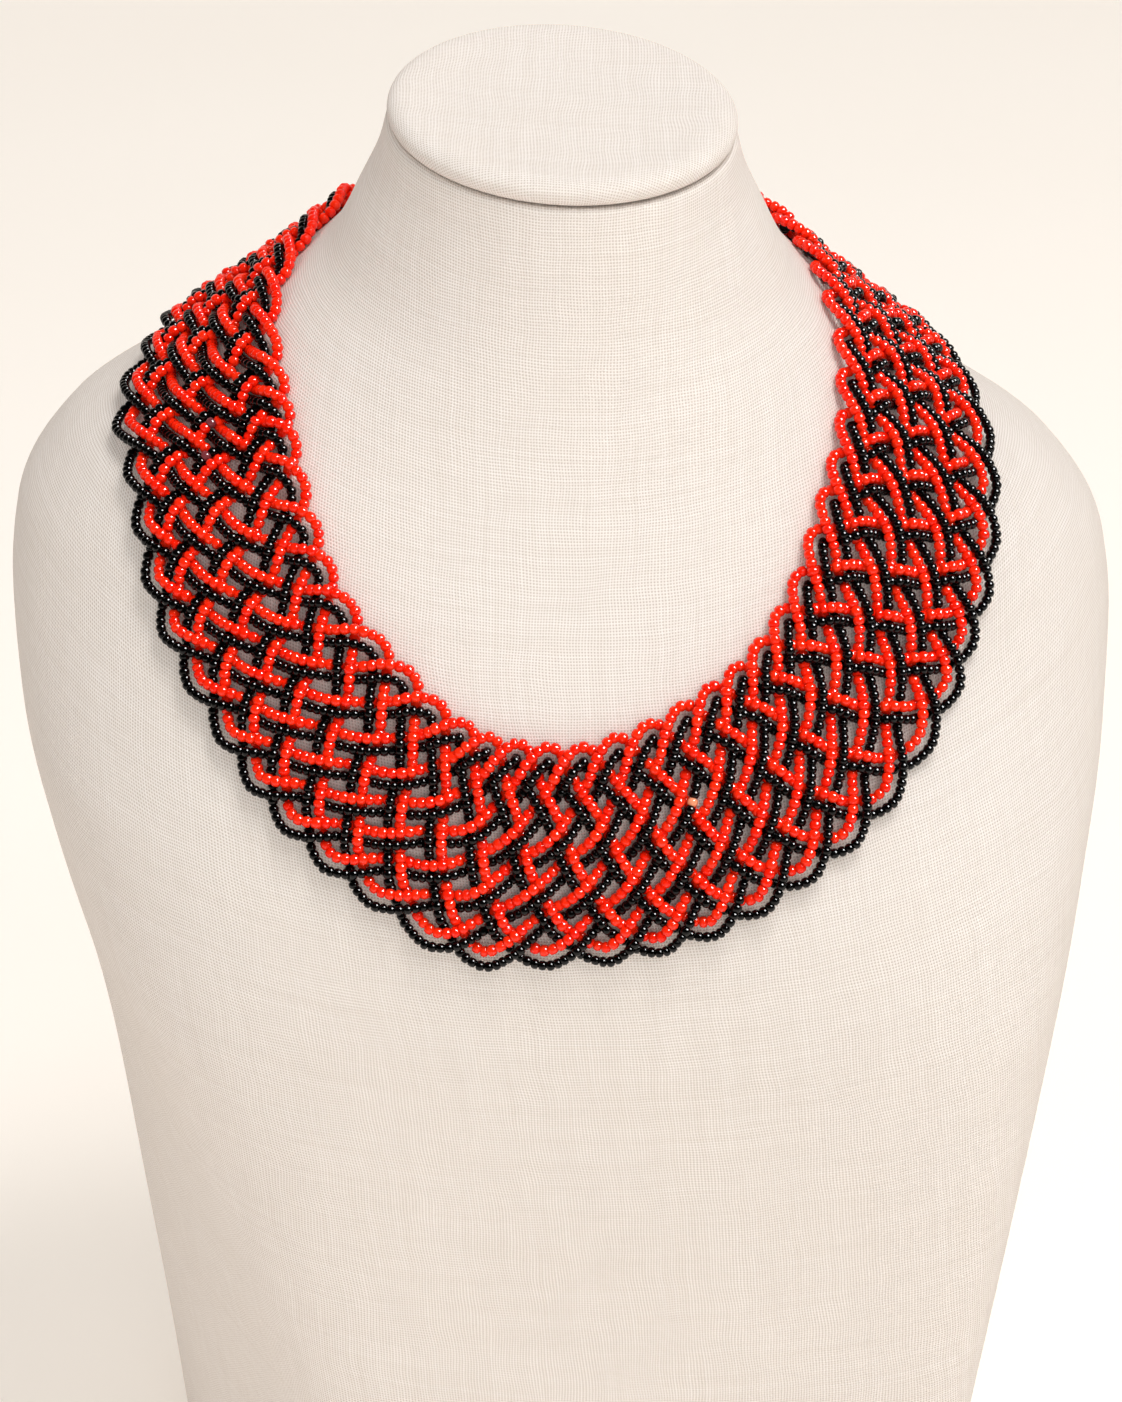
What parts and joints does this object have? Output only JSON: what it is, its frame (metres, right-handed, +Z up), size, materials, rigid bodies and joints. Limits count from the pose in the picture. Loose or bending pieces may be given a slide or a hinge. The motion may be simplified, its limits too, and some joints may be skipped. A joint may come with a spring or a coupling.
{
  "type": "beaded choker necklace on neck bust",
  "caption": "Broad collar braided from red and black strings of seed beads, worn round a plain linen-covered neck bust.",
  "frame": {"origin": "middle of the footprint, on the flat base that the bust stands on", "axes": "+Z up, -Y to the front of the collar, +X to the right as seen from the front"},
  "size_m": [0.313, 0.212, 0.4613],
  "materials": {
    "linen_cover": "fine plain weave",
    "seed_beads": "opaque glossy",
    "clasp_metal": "satin"
  },
  "bodies": {
    "root": {"bust_body": "linen_cover", "neck_cap": "linen_cover", "strand_1": "seed_beads", "strand_2": "seed_beads", "strand_3": "seed_beads", "strand_4": "seed_beads", "strand_5": "seed_beads", "strand_6": "seed_beads", "strand_7": "seed_beads", "strand_8": "seed_beads", "clasp": "clasp_metal"}
  },
  "joints": []
}
